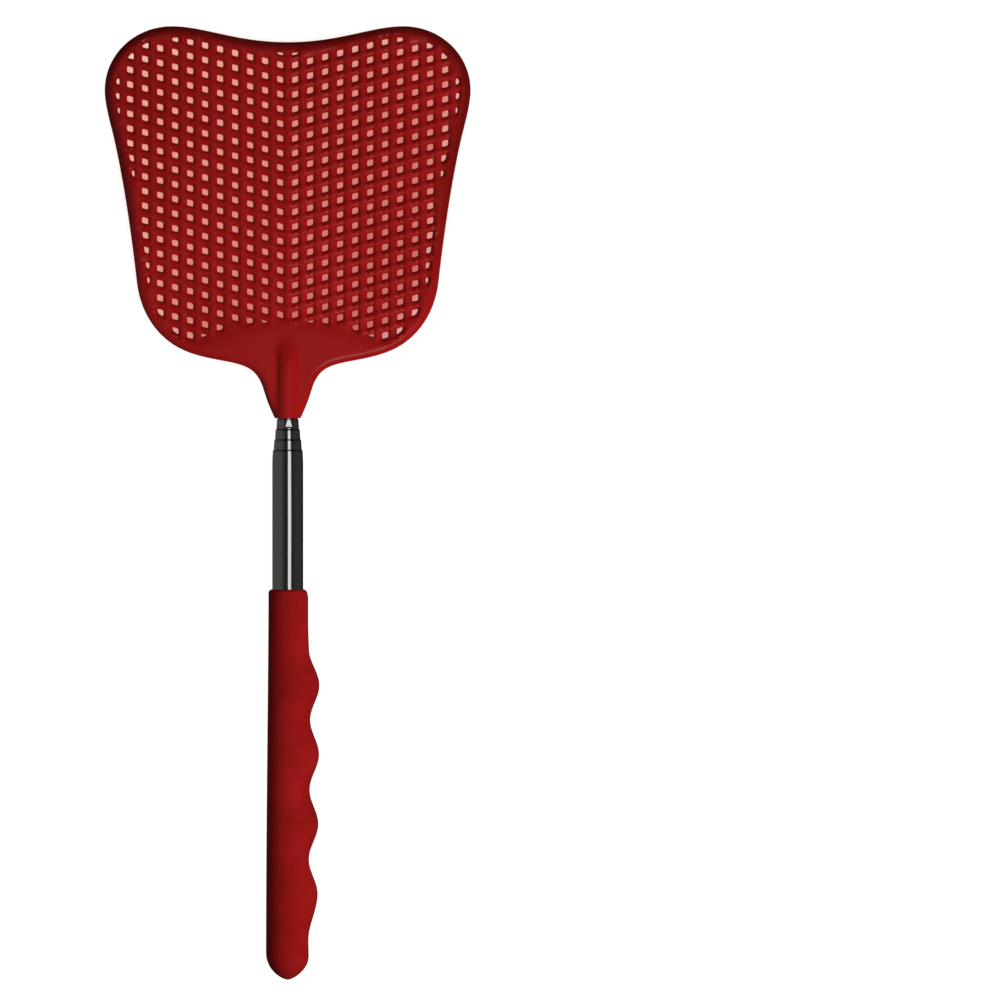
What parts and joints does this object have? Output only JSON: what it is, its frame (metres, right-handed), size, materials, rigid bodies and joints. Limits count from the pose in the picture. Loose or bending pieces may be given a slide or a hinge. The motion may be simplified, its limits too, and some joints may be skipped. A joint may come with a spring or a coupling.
{
  "type": "telescopic fly swatter",
  "caption": "Fly swatter with a pierced two-lobed plastic head, a nested telescopic steel pole that slides and turns, and a soft finger-bump grip.",
  "frame": {"origin": "centre of the butt of the grip, on the axis of the pole, where the hand that holds it starts", "axes": "+Z along the pole towards the head, +X across the head on the side of the finger bumps, +Y out of the back of the blade"},
  "size_m": [0.1054, 0.0124, 0.2746],
  "materials": {
    "head_plastic": "semi-gloss translucent red moulded plastic",
    "grip_rubber": "matt deep red soft foam rubber with a fine skin texture",
    "tube_steel": "polished thin-wall stainless steel tube",
    "plug_plastic": "black moulded plastic",
    "bush_brass": "turned brass",
    "spring_bronze": "phosphor bronze strip"
  },
  "bodies": {
    "handle": {"grip": "grip_rubber", "outer_tube": "tube_steel", "end_plug": "plug_plastic"},
    "spring_2": {"friction_spring_2": "spring_bronze"},
    "section_2": {"tube_2": "tube_steel", "foot_bush_2": "bush_brass"},
    "spring_3": {"friction_spring_3": "spring_bronze"},
    "section_3": {"tube_3": "tube_steel", "foot_bush_3": "bush_brass"},
    "spring_4": {"friction_spring_4": "spring_bronze"},
    "section_4": {"tube_4": "tube_steel", "foot_bush_4": "bush_brass"},
    "spring_5": {"friction_spring_5": "spring_bronze"},
    "section_5": {"tube_5": "tube_steel", "foot_bush_5": "bush_brass", "swatter_head": "head_plastic"}
  },
  "joints": [
    {"name": "slide_2", "type": "slide", "parent": "handle", "child": "spring_2", "axis": [0, 0, 1], "range_m": [0, 0.11375]},
    {"name": "turn_2", "type": "hinge", "parent": "spring_2", "child": "section_2", "pos_m": [0, 0, 0], "axis": [0, 0, 1], "continuous": true},
    {"name": "slide_3", "type": "slide", "parent": "section_2", "child": "spring_3", "axis": [0, 0, 1], "range_m": [0, 0.11375]},
    {"name": "turn_3", "type": "hinge", "parent": "spring_3", "child": "section_3", "pos_m": [0, 0, 0], "axis": [0, 0, 1], "continuous": true},
    {"name": "slide_4", "type": "slide", "parent": "section_3", "child": "spring_4", "axis": [0, 0, 1], "range_m": [0, 0.11375]},
    {"name": "turn_4", "type": "hinge", "parent": "spring_4", "child": "section_4", "pos_m": [0, 0, 0], "axis": [0, 0, 1], "continuous": true},
    {"name": "slide_5", "type": "slide", "parent": "section_4", "child": "spring_5", "axis": [0, 0, 1], "range_m": [0, 0.11375]},
    {"name": "turn_5", "type": "hinge", "parent": "spring_5", "child": "section_5", "pos_m": [0, 0, 0], "axis": [0, 0, 1], "continuous": true}
  ]
}
